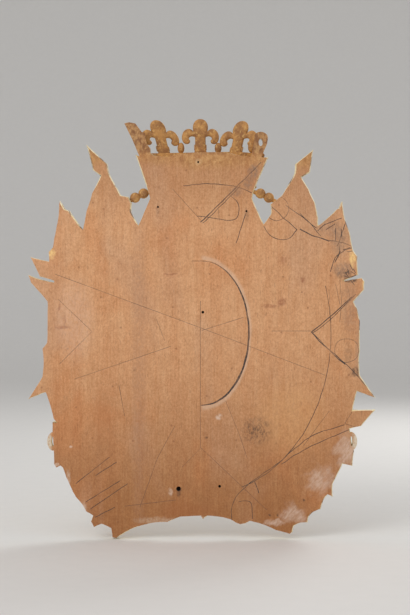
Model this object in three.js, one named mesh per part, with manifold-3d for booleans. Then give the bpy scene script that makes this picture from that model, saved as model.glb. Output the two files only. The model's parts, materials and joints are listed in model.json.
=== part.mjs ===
// A carved wooden coat of arms in one piece: an oval shield on an eight-pointed cross, ringed by a
// string of beads, crowned with fleurs, between flags, spears and barrels. The back is planed flat.
//
// The carving is drawn as it lies face up on the bench, seen from its carved front: x to the right,
// y up, z out of the wood, with the flat back at z = 0 and the origin at the centre of the design.
// The finished group stands upright: the front faces -Y and the back plane is Y = 0.
//
// Heights above the back are millimetres. The free outlines are drawn in thousandths of the height.

import * as THREE from 'three';
import { mergeVertices } from 'three/addons/utils/BufferGeometryUtils.js';
import Module from 'manifold-3d';

const wasm = await Module();
wasm.setup();

// Driving sizes in millimetres. A rise is a height above the ground of the relief.
const panelHeight = 797;
const boardThickness = 14;

const clothRise = 1;
const clothFold = 10;
const clothFoldAtStaff = 4;
const clothLayer = 4;
const staffRadius = 5.5;
const staffRise = 6;
const bladeEdge = 11;
const bladeRidge = 19;

const crossRise = 9;
const crossRim = 5;
const crossSink = 2;

const shieldRise = 17;
const shieldRim = 5;
const shieldDome = 13;
const chargeRise = 3;

const beadRadius = 8.7;
const beadPitch = 18.3;

const barrelRadius = 26;
const smallBarrelRadius = 19;
const barrelAxis = 7;
const muzzleLip = 3;

const crownDepth = 52;
const crownHollow = 18;
const fleurThickness = 11;
const fleurSwell = 2;
const fleurSetBack = 3;
const pearlSetBack = 1;
const endFleurThickness = 13;
const ringThickness = 15;

const nailHole = 3;
const pegHole = 5;
const pinHole = 2.2;
const holeDepth = 10;

// How many pleats the flags have, and how many steps go round the larger ovals
const upperPleats = 4;
const underPleats = 5;
const overPleats = 4;
const crownSteps = 24;
const shieldSteps = 20;

// One thousandth of the height
const share = panelHeight / 1000;

// Every form starts below the back and is planed off with it, and none is as high as the blank
const waste = 6;
const blank = 2 * crownDepth;

// The sawn outline, in thousandths of the height, as seen from the front. It runs clockwise round
// the photographed back, so it runs counter-clockwise here, from the crown's right-hand rim.
const crownTopEdge = [
  [159, 422], [143, 417], [123, 426], [110, 419], [81, 417], [60, 423], [15, 428], [-38, 428],
  [-67, 426], [-92, 420], [-118, 417], [-159, 416],
];
const leftShoulder = [[-124, 336], [-120, 317], [-147, 256], [-166, 282], [-164, 304], [-191, 325]];
const leftInnerFlag = [
  [-221, 377], [-223, 400], [-266, 435], [-258, 380], [-238, 368], [-255, 340], [-270, 307],
  [-277, 271], [-277, 254],
];
const leftOuterFlag = [
  [-281, 255], [-316, 285], [-322, 292], [-327, 293], [-335, 311], [-340, 274], [-353, 235],
  [-361, 194],
];
const brokenCrossPoint = [[-371, 180], [-371, 161], [-373, 135], [-338, 121]];
const leftSecondPoint = [[-381, 128], [-388, 120], [-387, 99], [-362, 71]];
const leftSide = [[-371, 54], [-377, 25], [-377, -48], [-375, -63], [-377, -105]];
const leftLowerPoints = [
  [-415, -159], [-370, -143], [-359, -188], [-414, -187], [-380, -226], [-353, -232],
];
const leftHem = [
  [-359, -279], [-363, -284], [-359, -321], [-335, -316], [-332, -325], [-312, -364], [-312, -395],
  [-300, -389], [-291, -400], [-283, -424], [-265, -431], [-254, -443], [-252, -456], [-236, -456],
  [-219, -464], [-216, -479], [-209, -483],
];
const bottomEdge = [
  [-176, -474], [-150, -462], [-114, -452], [-104, -458], [-91, -460], [-80, -456], [-67, -448],
  [-40, -442], [-13, -440], [-2, -448], [3, -440], [51, -442], [83, -455], [115, -456],
  [147, -464], [169, -472], [204, -493],
];
const rightHem = [
  [214, -491], [217, -469], [239, -459], [258, -467], [265, -453], [260, -439], [277, -429],
  [284, -415], [301, -395], [308, -383], [324, -348], [332, -325], [338, -320], [348, -325],
  [353, -316], [354, -284],
];
const lostSpear = [
  [357, -236], [357, -217], [346, -217], [354, -209], [359, -188], [368, -159], [373, -145],
];
const rightSide = [
  [415, -162], [381, -108], [378, -76], [381, -41], [370, -27], [369, 4], [369, 72],
];
const rightSecondPoint = [[408, 116], [415, 135], [388, 125], [353, 117], [353, 121], [387, 131]];
const rightOuterFlag = [
  [410, 178], [365, 167], [366, 190], [356, 201], [353, 222], [347, 251], [343, 271], [341, 304],
  [339, 312], [328, 292], [318, 289], [300, 264], [284, 243],
];
const rightInnerFlag = [
  [282, 254], [276, 286], [262, 331], [242, 372], [260, 385], [276, 446], [226, 400], [221, 375],
  [200, 337], [194, 325], [175, 321],
];
const rightShoulder = [[168, 306], [170, 286], [152, 253], [124, 318], [131, 341]];
const sawnOutline = [
  ...crownTopEdge, ...leftShoulder, ...leftInnerFlag, ...leftOuterFlag, ...brokenCrossPoint,
  ...leftSecondPoint, ...leftSide, ...leftLowerPoints, ...leftHem, ...bottomEdge, ...rightHem,
  ...lostSpear, ...rightSide, ...rightSecondPoint, ...rightOuterFlag, ...rightInnerFlag,
  ...rightShoulder,
];

// The eight-pointed cross: reach of its points and its notches from the centre
const sidePoint = [413, 170];
const uprightPoint = [150, 421];
const sideNotch = 262;
const uprightNotch = 277;

// The shield with its domed field inside the rim, and the oval that the beads follow
const shieldHalf = [112, 172];
const domeReach = 0.87;
const rosaryHalf = [153, 205];

// The crown's levels and half widths. Its brim stands above the board behind it.
const crownFoot = 336;
const crownBrim = 433;
const crownFootHalf = 126;
const crownBrimHalf = 160;

// The pearls on the brim and the beads that hang from the crown, as half widths
const pearlHalf = [8.5, 13.5, 8.5];
const chainBeadHalf = 12.4;
const chainCordHalf = 5;

// How far up its own half height or radius a pearl or a bead is seated
const pearlSeat = 0.75;
const beadSeat = 0.7;

// The cord loops at the sides, level with each other
const ringLevel = -262;
const ringHalf = [14, 22];
const ringEye = [4, 12];

// Turns a closed three.js geometry into a solid. A mirrored form comes out inside out, so its
// faces are turned round.
function solid(geometry) {
  const bare = geometry.clone();
  bare.deleteAttribute('normal');
  bare.deleteAttribute('uv');
  const merged = mergeVertices(bare, 1e-4);
  const corners = [];
  for (let i = 0; i < merged.index.count; i += 3) {
    const [a, b, c] = [0, 1, 2].map((step) => merged.index.getX(i + step));
    if (a !== b && b !== c && c !== a) corners.push([a, b, c]);
  }
  const build = (triangles) => new wasm.Manifold(new wasm.Mesh({
    numProp: 3,
    vertProperties: new Float32Array(merged.attributes.position.array),
    triVerts: new Uint32Array(triangles.flat()),
  }));
  const made = build(corners);
  return made.volume() > 0 ? made : build(corners.map(([a, b, c]) => [a, c, b]));
}

const join = (solids) => solids.reduce((all, next) => all.add(next));

// A flat piece with upright walls between two heights
function slab(points, low, high) {
  const corners = points.map(([x, y]) => new THREE.Vector2(x * share, y * share));
  const geometry = new THREE.ExtrudeGeometry(new THREE.Shape(corners), {
    depth: high - low,
    bevelEnabled: false,
  });
  geometry.translate(0, 0, low);
  return solid(geometry);
}

// A block whose top follows surface(s, t), which gives x and y in thousandths and a height
function sheet(columns, rows, surface) {
  const geometry = new THREE.BoxGeometry(1, 1, 1, columns, rows, 1);
  const place = geometry.attributes.position;
  for (let i = 0; i < place.count; i += 1) {
    const [x, y, height] = surface(place.getX(i) + 0.5, place.getY(i) + 0.5);
    place.setXYZ(i, x * share, y * share, place.getZ(i) > 0 ? height : -waste);
  }
  return solid(geometry);
}

// A round bar lying along the board
function bar(start, end, radius, axis, sides = 6) {
  const from = new THREE.Vector3(start[0] * share, start[1] * share, axis);
  const to = new THREE.Vector3(end[0] * share, end[1] * share, axis);
  const along = to.clone().sub(from);
  const geometry = new THREE.CylinderGeometry(radius, radius, along.length(), sides);
  const upright = new THREE.Vector3(0, 1, 0);
  geometry.applyQuaternion(
    new THREE.Quaternion().setFromUnitVectors(upright, along.clone().normalize()),
  );
  geometry.translate(...from.add(to).multiplyScalar(0.5).toArray());
  return solid(geometry);
}

function ball([x, y], height, radii, rings = 3) {
  const geometry = new THREE.SphereGeometry(1, 6, rings).rotateX(Math.PI / 2);
  geometry.scale(...radii);
  geometry.translate(x * share, y * share, height);
  return solid(geometry);
}

const bead = (place, height, radius) => ball(place, height, [radius, radius, radius]);

// An outline moved inwards by a margin, corner by corner
function inset(points, margin) {
  const ring = points.map(([x, y]) => new THREE.Vector2(x, y));
  const turn = THREE.ShapeUtils.area(ring) > 0 ? 1 : -1;
  return ring.map((corner, i) => {
    const before = ring[(i + ring.length - 1) % ring.length];
    const after = ring[(i + 1) % ring.length];
    const a = corner.clone().sub(before).normalize();
    const b = after.clone().sub(corner).normalize();
    const normalA = new THREE.Vector2(-a.y, a.x).multiplyScalar(turn);
    const normalB = new THREE.Vector2(-b.y, b.x).multiplyScalar(turn);
    const middle = normalA.clone().add(normalB).normalize();
    const reach = (margin / share) / middle.dot(normalA);
    return [corner.x + middle.x * reach, corner.y + middle.y * reach];
  });
}

const blend = (a, b, t) => a + (b - a) * t;

const oval = ([x, y], [halfX, halfY], count) => new THREE.EllipseCurve(x, y, halfX, halfY)
  .getPoints(count).slice(0, -1).map((point) => [point.x, point.y]);

// Cloth between two edges that start at the staff: pleats fan out and deepen towards the hem
function cloth(firstEdge, secondEdge, pleats, rise, rows = 2) {
  const first = new THREE.SplineCurve(firstEdge.map(([x, y]) => new THREE.Vector2(x, y)));
  const second = new THREE.SplineCurve(secondEdge.map(([x, y]) => new THREE.Vector2(x, y)));
  return sheet(2 * pleats, rows, (s, t) => {
    const a = first.getPoint(t);
    const b = second.getPoint(t);
    const wave = (1 - Math.cos(2 * Math.PI * pleats * s)) / 2;
    const depth = blend(clothFoldAtStaff, clothFold, t);
    return [blend(a.x, b.x, s), blend(a.y, b.y, s), boardThickness + rise + depth * wave];
  });
}

// A blade with a ridge: half widths at shares of the way from its root to its tip
function blade(root, tip, halfWidths) {
  const along = new THREE.Vector2(tip[0] - root[0], tip[1] - root[1]);
  const across = new THREE.Vector2(-along.y, along.x).normalize();
  const rows = halfWidths.length - 1;
  return sheet(2, rows, (s, t) => {
    const half = halfWidths[Math.round(t * rows)] * (2 * s - 1);
    const height = Math.abs(2 * s - 1) > 0.5 ? bladeEdge : bladeRidge;
    return [
      root[0] + along.x * t + across.x * half,
      root[1] + along.y * t + across.y * half,
      height,
    ];
  });
}

// One arm of the cross, with a raised rim round a sunk field
function crossArm(points) {
  const top = boardThickness + crossRise;
  return slab(points, -waste, top).subtract(slab(inset(points, crossRim), top - crossSink, blank));
}

function cross() {
  const [sideX, sideY] = sidePoint;
  const [upX, upY] = uprightPoint;
  const arms = [];
  for (const way of [1, -1]) {
    arms.push(crossArm([[0, 0], [way * sideX, -sideY], [way * sideNotch, 0], [way * sideX, sideY]]));
    arms.push(crossArm([[0, 0], [-upX, way * upY], [0, way * uprightNotch], [upX, way * upY]]));
  }
  return join(arms);
}

// The upper flags: cloth gathered under a spearhead, on a staff that points at the centre
function upperFlags(way) {
  const flip = ([x, y]) => [way * x, y];
  const innerCloth = cloth(
    [[246, 376], [270, 325], [288, 250], [300, 165]].map(flip),
    [[218, 378], [190, 326], [145, 265], [95, 185]].map(flip),
    upperPleats, clothRise,
  );
  const outerCloth = cloth(
    [[345, 306], [356, 255], [380, 170], [392, 70]].map(flip),
    [[322, 292], [282, 238], [232, 180], [190, 110]].map(flip),
    upperPleats, clothRise + clothLayer,
  );
  const axis = boardThickness + staffRise + clothLayer;
  const staff = bar([0, 0], flip([231, 373]), staffRadius, axis);
  const outerStaff = bar([0, 0], flip([336, 308]), staffRadius, axis);
  const spearhead = blade(flip([228, 368]), flip([271, 441]), [11, 19, 9, 1]);
  return [innerCloth, outerCloth, staff, outerStaff, spearhead];
}

// The lower flags: cloth that falls from a rising staff, in two layers with a stepped hem
function lowerFlags(way) {
  const flip = ([x, y]) => [way * x, y];
  const under = cloth(
    [[85, -235], [92, -330], [125, -430], [195, -505]].map(flip),
    [[235, -190], [262, -300], [285, -380], [300, -440]].map(flip),
    underPleats, clothRise,
  );
  const over = cloth(
    [[190, -125], [215, -240], [245, -360], [275, -440]].map(flip),
    [[372, -150], [376, -220], [376, -280], [372, -345]].map(flip),
    overPleats, clothRise + clothLayer,
  );
  const axis = boardThickness + staffRise + 2 * clothLayer;
  const staff = bar(flip([90, -383]), flip([362, -213]), staffRadius, axis);
  const spearhead = blade(flip([352, -217]), flip([415, -186]), [13, 17, 9, 1]);
  return [under, over, staff, spearhead];
}

// A barrel with a flat muzzle, a raised lip and a ring round it, half sunk in the wood
function barrel(breech, muzzle, radius) {
  const lipEnd = 0.12;
  const ringEnds = [0.4, 0.45];
  const sides = 10;
  const place = (t) => muzzle.map((value, i) => blend(value, breech[i], t));
  return [
    bar(breech, muzzle, radius, barrelAxis, sides),
    bar(place(lipEnd), muzzle, radius + muzzleLip, barrelAxis, sides),
    bar(place(ringEnds[0]), place(ringEnds[1]), radius + muzzleLip, barrelAxis, sides),
  ];
}

// The side barrels and the broad points over them lie between the points of the cross. The small
// barrels show at the bottom edge.
function barrels() {
  return [
    ...barrel([230, -40], [384, -76], barrelRadius),
    ...barrel([-230, -12], [-381, -22], barrelRadius),
    ...barrel([190, -320], [92, -452], smallBarrelRadius),
    ...barrel([-190, -320], [-92, -452], smallBarrelRadius),
    blade([250, 76], [418, 127], [34, 34, 30, 12]),
    blade([-250, 76], [-392, 112], [34, 34, 30, 12]),
  ];
}

// The oval shield: a moulded rim round a domed field, turned and then stretched to an oval
function shield() {
  const low = boardThickness + shieldRise;
  const rimTop = low + shieldRim;
  const dome = (radius) => low + shieldDome * (1 - (radius / domeReach) ** 2);
  const profile = [
    [0, -waste], [1, -waste], [1, rimTop - shieldRim / 2], [0.96, rimTop], [0.91, rimTop],
    [domeReach, low], ...[0.65, 0.42, 0.2, 0].map((radius) => [radius, dome(radius)]),
  ];
  const geometry = new THREE.LatheGeometry(
    profile.map(([radius, height]) => new THREE.Vector2(radius, height)),
    shieldSteps,
  );
  geometry.rotateX(Math.PI / 2);
  geometry.scale(shieldHalf[0] * share, shieldHalf[1] * share, 1);
  return solid(geometry);
}

// A chevron between three round bosses, raised on the dome
function charge(body) {
  const chevron = [[0, 55], [75, -40], [75, -85], [0, 10], [-75, -85], [-75, -40]];
  const outlines = [chevron];
  for (const boss of [[-48, 75], [48, 75], [0, -80]]) outlines.push(oval(boss, [20, 20], 8));
  const raised = body.translate([0, 0, chargeRise]);
  const field = shieldHalf.map((half) => half * domeReach);
  const inside = slab(oval([0, 0], field, shieldSteps), 0, blank);
  return raised.intersect(join(outlines.map((points) => slab(points, 0, blank)))).intersect(inside);
}

// The string of beads round the shield, evenly spaced along its oval, with a pendant below
function rosary() {
  const loop = new THREE.EllipseCurve(0, 0, rosaryHalf[0], rosaryHalf[1]);
  const count = Math.round((loop.getLength() * share) / beadPitch);
  const axis = boardThickness + beadSeat * beadRadius;
  const beads = loop.getSpacedPoints(count).slice(0, count);
  const pendant = [1, -1].map((way) => slab(
    [[0, -335], [way * 26, -318], [way * 8, -342], [way * 34, -330], [way * 34, -372],
      [way * 8, -350], [way * 26, -404], [0, -392]],
    -waste, axis + beadRadius / 3,
  ));
  return [
    ...beads.map(({ x, y }) => bead([x, y], axis, beadRadius)),
    ...[-232, -256, -280, -304].map((y) => bead([0, y], axis, beadRadius)),
    ...pendant,
  ];
}

// The beads that hang free between the crown and the flag, level with the cord that holds them
function looseBeads(way) {
  const radius = chainBeadHalf * share;
  const beads = [[140, 330], [160, 320]].map(([x, y]) => bead([way * x, y], radius, radius));
  const cord = bar([way * 122, 335], [way * 185, 307], chainCordHalf * share, radius);
  return [...beads, cord];
}

// The rest of the same chain, carved across the inner flag and sawn off with it
function carvedBeads(way) {
  const places = [[180, 310], [201, 302], [222, 300], [243, 303], [262, 312]];
  const radius = chainBeadHalf * share;
  const height = boardThickness + beadSeat * radius;
  return places.map(([x, y]) => bead([way * x, y], height, radius));
}

// The crown's flared band, turned and then flattened to half its width or less
function crownBand() {
  const levels = [
    [0, crownFoot], [crownFootHalf, crownFoot], [crownFootHalf + 6, crownFoot + 10],
    [crownFootHalf, crownFoot + 20], [crownBrimHalf - 10, crownBrim - 20],
    [crownBrimHalf, crownBrim - 14], [crownBrimHalf, crownBrim], [0, crownBrim],
  ];
  const profile = levels.map(([radius, level]) => new THREE.Vector2(radius * share, level * share));
  const geometry = new THREE.LatheGeometry(profile, crownSteps);
  geometry.scale(1, 1, crownDepth / (crownBrimHalf * share));
  return solid(geometry);
}

// How far the brim stands out above x
const brimDepth = (x) => crownDepth * Math.sqrt(1 - (x / crownBrimHalf) ** 2);

// Half of a fleur's outline above the brim: the stem, the petal that curls over, the middle petal
const fleurSide = [
  [16, -6], [13.5, 6], [12.8, 35], [15.5, 38], [21, 39], [26, 37], [28, 32.5], [25, 28.5],
  [25.5, 24], [30, 20.5], [37, 21], [42.5, 26], [45, 34], [44, 43], [40, 51], [33, 56],
  [26, 56.5], [20.5, 54], [17, 50.5], [18, 55], [18.4, 61], [16.8, 69], [12, 76.5], [5, 81],
];

// The raised middle of a fleur: its height above the brim and its half widths
const fleurMiddle = 60;
const fleurMiddleHalf = [13, 20];

// One fleur of the crown, with a raised middle. It stands on the brim at x, slanted to one side
// and lowered by its drop.
function fleur(x, slant, drop) {
  const half = fleurThickness / 2;
  const raised = [...fleurMiddleHalf.map((size) => size * share), half + fleurSwell];
  const otherSide = fleurSide.map(([a, b]) => [-a, b]).reverse();
  const slanted = ([a, b]) => [a + slant * b, b];
  const flat = slab([...fleurSide, ...otherSide].map(slanted), -half, half);
  const halfBrim = crownBrimHalf * share;
  const turn = Math.atan2((x * share) / halfBrim ** 2, brimDepth(x) / crownDepth ** 2);
  const degrees = 180 / Math.PI;
  return flat.add(ball(slanted([0, fleurMiddle]), 0, raised, 4))
    .rotate([0, turn * degrees, 0])
    .translate([x * share, (crownBrim - drop) * share, brimDepth(x) - half - fleurSetBack]);
}

// The end fleurs are flush with the back: one keeps its leaning petal, the other only its scroll
function endFleurs() {
  const petal = [
    [152, 424], [144, 408], [123, 415], [123, 436], [132, 448], [136, 473], [144, 476], [159, 496],
    [174, 499], [185, 496], [166, 457],
  ];
  const scroll = [
    [-140, 408], [-112, 408], [-118, 421], [-124, 457], [-128, 472], [-143, 476], [-156, 467],
    [-155, 448], [-148, 431],
  ];
  const eye = slab(oval([-134, 451], [5, 9], 8), -2 * waste, blank);
  return [
    slab(petal, -waste, endFleurThickness),
    slab(scroll, -waste, endFleurThickness).subtract(eye),
  ];
}

function crown() {
  const radii = pearlHalf.map((half) => half * share);
  const level = crownBrim + pearlSeat * pearlHalf[1];
  const pearls = [51, -39, -119].map((x) => (
    ball([x, level], brimDepth(x) - radii[2] - pearlSetBack, radii, 4)
  ));
  const fleurs = [fleur(91, 0.26, 5), fleur(4, 0, 0), fleur(-80, -0.23, 6.5)];
  return [...fleurs, ...pearls, ...endFleurs()];
}

// The carved cord loops that stand out at the sides
function ring(x) {
  const eye = slab(oval([x, ringLevel], ringEye, 10), -2 * waste, blank);
  return slab(oval([x, ringLevel], ringHalf, 12), -waste, ringThickness).subtract(eye);
}

// Nail and peg holes bored into the back
function backHoles() {
  const places = [
    [[-2, 46], nailHole], [[56, -375], pegHole], [[-42, -369], nailHole],
    [[105, 297], pinHole], [[-106, 287], pinHole], [[9, 404], pinHole],
  ];
  return join(places.map(([[x, y], radius]) => {
    const geometry = new THREE.CylinderGeometry(radius, radius, 2 * holeDepth, 10);
    geometry.rotateX(Math.PI / 2);
    geometry.translate(x * share, y * share, 0);
    return solid(geometry);
  }));
}

function carvedPanel() {
  const sawn = slab(sawnOutline, -2 * waste, blank);
  const square = [[-600, -600], [600, -600], [600, 600], [-600, 600]];
  const ground = slab(square, -waste, boardThickness);
  const behind = slab(square, -2 * waste, crownHollow);
  const body = shield();
  const relief = join([
    ground,
    ...upperFlags(1), ...upperFlags(-1), ...lowerFlags(1), ...lowerFlags(-1), ...barrels(),
    cross(), body, charge(body), ...rosary(), crownBand(), ...carvedBeads(1), ...carvedBeads(-1),
  ]);
  const whole = join([
    relief.intersect(sawn), crownBand().subtract(behind), ...crown(),
    ...looseBeads(1), ...looseBeads(-1), ring(355), ring(-356),
  ]);
  const size = 2 * panelHeight;
  const below = new THREE.BoxGeometry(size, size, size).translate(0, 0, -size / 2);
  return whole.subtract(solid(below)).subtract(backHoles());
}

function meshOf(name, body, material) {
  const made = body.getMesh();
  const geometry = new THREE.BufferGeometry();
  geometry.setAttribute('position', new THREE.BufferAttribute(made.vertProperties, 3));
  geometry.setIndex(new THREE.BufferAttribute(made.triVerts, 1));
  geometry.computeVertexNormals();
  const mesh = new THREE.Mesh(geometry, material);
  mesh.name = name;
  return mesh;
}

const wood = new THREE.MeshStandardMaterial({ color: 0xc08f69, roughness: 0.8, metalness: 0 });
const bench = new THREE.Group();
bench.rotation.x = Math.PI / 2;
bench.add(meshOf('carved_panel', carvedPanel(), wood));

const group = new THREE.Group();
group.add(bench);

export default group;
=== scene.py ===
# A carved wooden coat of arms in one piece, seen from its flat planed back: bare wood with pencil
# setting out, nail holes, stains and traces of chalk ground, and a painted and gilded front.
#
# The forms are drawn as the carving lies face up on the bench, seen from its carved front: x to
# the right, y up, z out of the wood, with the flat back at z = 0. Heights, radii and everything on
# the back are millimetres. Free outlines are in thousandths of the height of the panel. The
# finished mesh is then stood up and scaled to metres, with its front towards -Y.

import json
import math

import bmesh
import bpy
from mathutils import Matrix, Vector, noise

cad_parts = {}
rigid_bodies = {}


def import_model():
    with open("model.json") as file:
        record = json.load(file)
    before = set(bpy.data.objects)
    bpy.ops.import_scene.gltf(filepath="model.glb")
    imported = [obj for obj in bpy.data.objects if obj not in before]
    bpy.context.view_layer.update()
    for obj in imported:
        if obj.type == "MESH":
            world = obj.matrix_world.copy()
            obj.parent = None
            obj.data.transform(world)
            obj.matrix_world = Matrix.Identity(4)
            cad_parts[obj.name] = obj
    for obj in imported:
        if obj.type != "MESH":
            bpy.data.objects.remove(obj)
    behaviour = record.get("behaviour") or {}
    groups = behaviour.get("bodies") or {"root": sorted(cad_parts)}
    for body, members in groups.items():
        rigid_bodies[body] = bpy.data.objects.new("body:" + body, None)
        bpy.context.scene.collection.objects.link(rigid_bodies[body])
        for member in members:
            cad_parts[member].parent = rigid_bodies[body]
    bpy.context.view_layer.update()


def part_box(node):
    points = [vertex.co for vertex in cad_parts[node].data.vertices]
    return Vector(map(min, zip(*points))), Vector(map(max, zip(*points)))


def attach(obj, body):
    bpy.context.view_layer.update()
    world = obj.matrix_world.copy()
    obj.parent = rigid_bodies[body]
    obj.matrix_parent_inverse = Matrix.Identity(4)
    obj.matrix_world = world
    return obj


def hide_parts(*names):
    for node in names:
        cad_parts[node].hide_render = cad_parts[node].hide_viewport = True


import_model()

# Driving sizes in millimetres. A rise is a height above the ground of the relief.
PANEL_HEIGHT = 797
BOARD = 14
BACK_BEVEL = 4
NARROW_RIM = 0.5
BROAD_RIM = 1.9
SAW_WOBBLE = 0.7

CLOTH_RISE = 1
CLOTH_FOLD = 10
CLOTH_FOLD_AT_STAFF = 4
CLOTH_LAYER = 4
STAFF_RADIUS = 5.5
STAFF_RISE = 6
BLADE_EDGE = 11
BLADE_RIDGE = 19

CROSS_RISE = 9
CROSS_RIM = 5
CROSS_SINK = 2

SHIELD_RISE = 17
SHIELD_RIM = 5
SHIELD_DOME = 13
CHARGE_RISE = 3

BEAD_RADIUS = 8.7
BEAD_PITCH = 18.3

BARREL_RADIUS = 26
SMALL_BARREL_RADIUS = 19
BARREL_AXIS = 7
MUZZLE_LIP = 3

CROWN_DEPTH = 52
CROWN_HOLLOW = 18
FLEUR_THICKNESS = 11
FLEUR_SET_BACK = 3
PEARL_SET_BACK = 1
END_FLEUR_THICKNESS = 13
RING_THICKNESS = 15

NAIL_HOLE = 3
PEG_HOLE = 5
PIN_HOLE = 2.2
HOLE_DEPTH = 10

# How many pleats the flags have
UPPER_PLEATS = 4
UNDER_PLEATS = 5
OVER_PLEATS = 4

# One thousandth of the height. Every form starts below the back and is planed off with it, and
# none is as high as the blank.
SHARE = PANEL_HEIGHT / 1000
WASTE = 6
BLANK = 2 * CROWN_DEPTH

# Shield, beads, cross and crown, in thousandths of the height
SIDE_POINT = (413, 170)
UPRIGHT_POINT = (150, 421)
SIDE_NOTCH = 262
UPRIGHT_NOTCH = 277
SHIELD_HALF = (112, 172)
DOME_REACH = 0.87
ROSARY_HALF = (153, 205)
CROWN_FOOT = 336
CROWN_BRIM = 433
CROWN_FOOT_HALF = 126
CROWN_BRIM_HALF = 160
CROWN_BRIM_SAG = 7
PEARL_HALF = (8.5, 13.5, 8.5)
CHAIN_BEAD_HALF = 12.4
CHAIN_CORD_HALF = 5
PEARL_SEAT = 0.75
BEAD_SEAT = 0.7
RING_LEVEL = -262
RING_HALF = (14, 22)
RING_EYE = (4, 12)

# The sawn outline, in thousandths of the height, as seen from the front and counter-clockwise
CROWN_TOP_EDGE = [
    (159, 422), (143, 417), (123, 426), (110, 419), (81, 417), (60, 423), (15, 428), (-38, 428),
    (-67, 426), (-92, 420), (-118, 417), (-159, 416),
]
LEFT_SHOULDER = [
    (-124, 336), (-120, 317), (-147, 256), (-166, 282), (-164, 304), (-191, 325),
]
LEFT_INNER_FLAG = [
    (-221, 377), (-223, 400), (-266, 435), (-258, 380), (-238, 368), (-255, 340), (-270, 307),
    (-277, 271), (-277, 254),
]
LEFT_OUTER_FLAG = [
    (-281, 255), (-316, 285), (-322, 292), (-327, 293), (-335, 311), (-340, 274), (-353, 235),
    (-361, 194),
]
BROKEN_CROSS_POINT = [(-371, 180), (-371, 161), (-373, 135), (-338, 121)]
LEFT_SECOND_POINT = [(-381, 128), (-388, 120), (-387, 99), (-362, 71)]
LEFT_SIDE = [(-371, 54), (-377, 25), (-377, -48), (-375, -63), (-377, -105)]
LEFT_LOWER_POINTS = [
    (-415, -159), (-370, -143), (-359, -188), (-414, -187), (-380, -226), (-353, -232),
]
LEFT_HEM = [
    (-359, -279), (-363, -284), (-359, -321), (-335, -316), (-332, -325), (-312, -364),
    (-312, -395), (-300, -389), (-291, -400), (-283, -424), (-265, -431), (-254, -443),
    (-252, -456), (-236, -456), (-219, -464), (-216, -479), (-209, -483),
]
BOTTOM_EDGE = [
    (-176, -474), (-150, -462), (-114, -452), (-104, -458), (-91, -460), (-80, -456), (-67, -448),
    (-40, -442), (-13, -440), (-2, -448), (3, -440), (51, -442), (83, -455), (115, -456),
    (147, -464), (169, -472), (204, -493),
]
RIGHT_HEM = [
    (214, -491), (217, -469), (239, -459), (258, -467), (265, -453), (260, -439), (277, -429),
    (284, -415), (301, -395), (308, -383), (324, -348), (332, -325), (338, -320), (348, -325),
    (353, -316), (354, -284),
]
LOST_SPEAR = [
    (357, -236), (357, -217), (346, -217), (354, -209), (359, -188), (368, -159), (373, -145),
]
RIGHT_SIDE = [
    (415, -162), (381, -108), (378, -76), (381, -41), (370, -27), (369, 4), (369, 72),
]
RIGHT_SECOND_POINT = [
    (408, 116), (415, 135), (388, 125), (353, 117), (353, 121), (387, 131),
]
RIGHT_OUTER_FLAG = [
    (410, 178), (365, 167), (366, 190), (356, 201), (353, 222), (347, 251), (343, 271),
    (341, 304), (339, 312), (328, 292), (318, 289), (300, 264), (284, 243),
]
RIGHT_INNER_FLAG = [
    (282, 254), (276, 286), (262, 331), (242, 372), (260, 385), (276, 446), (226, 400),
    (221, 375), (200, 337), (194, 325), (175, 321),
]
RIGHT_SHOULDER = [(168, 306), (170, 286), (152, 253), (124, 318), (131, 341)]
SAWN_OUTLINE = (
    CROWN_TOP_EDGE + LEFT_SHOULDER + LEFT_INNER_FLAG + LEFT_OUTER_FLAG + BROKEN_CROSS_POINT
    + LEFT_SECOND_POINT + LEFT_SIDE + LEFT_LOWER_POINTS + LEFT_HEM + BOTTOM_EDGE + RIGHT_HEM
    + LOST_SPEAR + RIGHT_SIDE + RIGHT_SECOND_POINT + RIGHT_OUTER_FLAG + RIGHT_INNER_FLAG
    + RIGHT_SHOULDER
)

# Half of a fleur's outline above the brim: the stem, the petal that curls over, the middle petal
FLEUR_SIDE = [
    (16, -6), (13.5, 6), (12.8, 35), (15.5, 38), (21, 39), (26, 37), (28, 32.5), (25, 28.5),
    (25.5, 24), (30, 20.5), (37, 21), (42.5, 26), (45, 34), (44, 43), (40, 51), (33, 56),
    (26, 56.5), (20.5, 54), (17, 50.5), (18, 55), (18.4, 61), (16.8, 69), (12, 76), (5, 80),
]

# Everything drawn on the back, in millimetres right of the centre and above it, seen from behind
RULED_LINES = [
    [(-279, 109), (-100, 43), (-5, 8), (234, -83)],
    [(-273, 61), (-209, 0), (-271, -62)],
    [(-244, -91), (-59, -28)],
    [(-87, 24), (-71, -17)],
    [(-158, -101), (-147, -161)],
    [(-52, -180), (-85, -241), (-118, -334)],
    [(-38, -258), (-2, -221), (123, -339)],
    [(45, -132), (71, -196), (86, -241)],
    [(133, 1), (207, 1)],
    [(-3, 58), (-3, -221)],
    [(-19, 134), (2, 134)],
    [(-56, 271), (-1, 210)],
    [(-147, -332), (-50, -320)],
    [(242, -151), (217, -184), (193, -217)],
    [(0, 2), (79, 27)],
    [(31, 232), (33, 211)],
    [(241, 80), (243, 56)],
    [(254, 90), (262, 52)],
    [(276, 87), (283, 58)],
    [(262, 98), (265, 58), (262, 18)],
    [(271, -175), (285, -153)],
    [(271, -175), (300, -184)],
]
HATCHING = [
    [(-240, -289), (-176, -239)],
    [(-203, -274), (-162, -248)],
    [(-221, -324), (-155, -283)],
    [(-213, -338), (-141, -289)],
    [(-203, -353), (-166, -334)],
]
BOLD_LINES = [
    [(285, 66), (254, 37), (230, 17), (208, -1)],
    [(208, -1), (226, -21), (252, -43), (272, -62)],
    [(-3, 207), (38, 247), (78, 287)],
    [(186, 195), (200, 187), (214, 181), (242, 172)],
    [(268, 155), (287, 160)],
]
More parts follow.
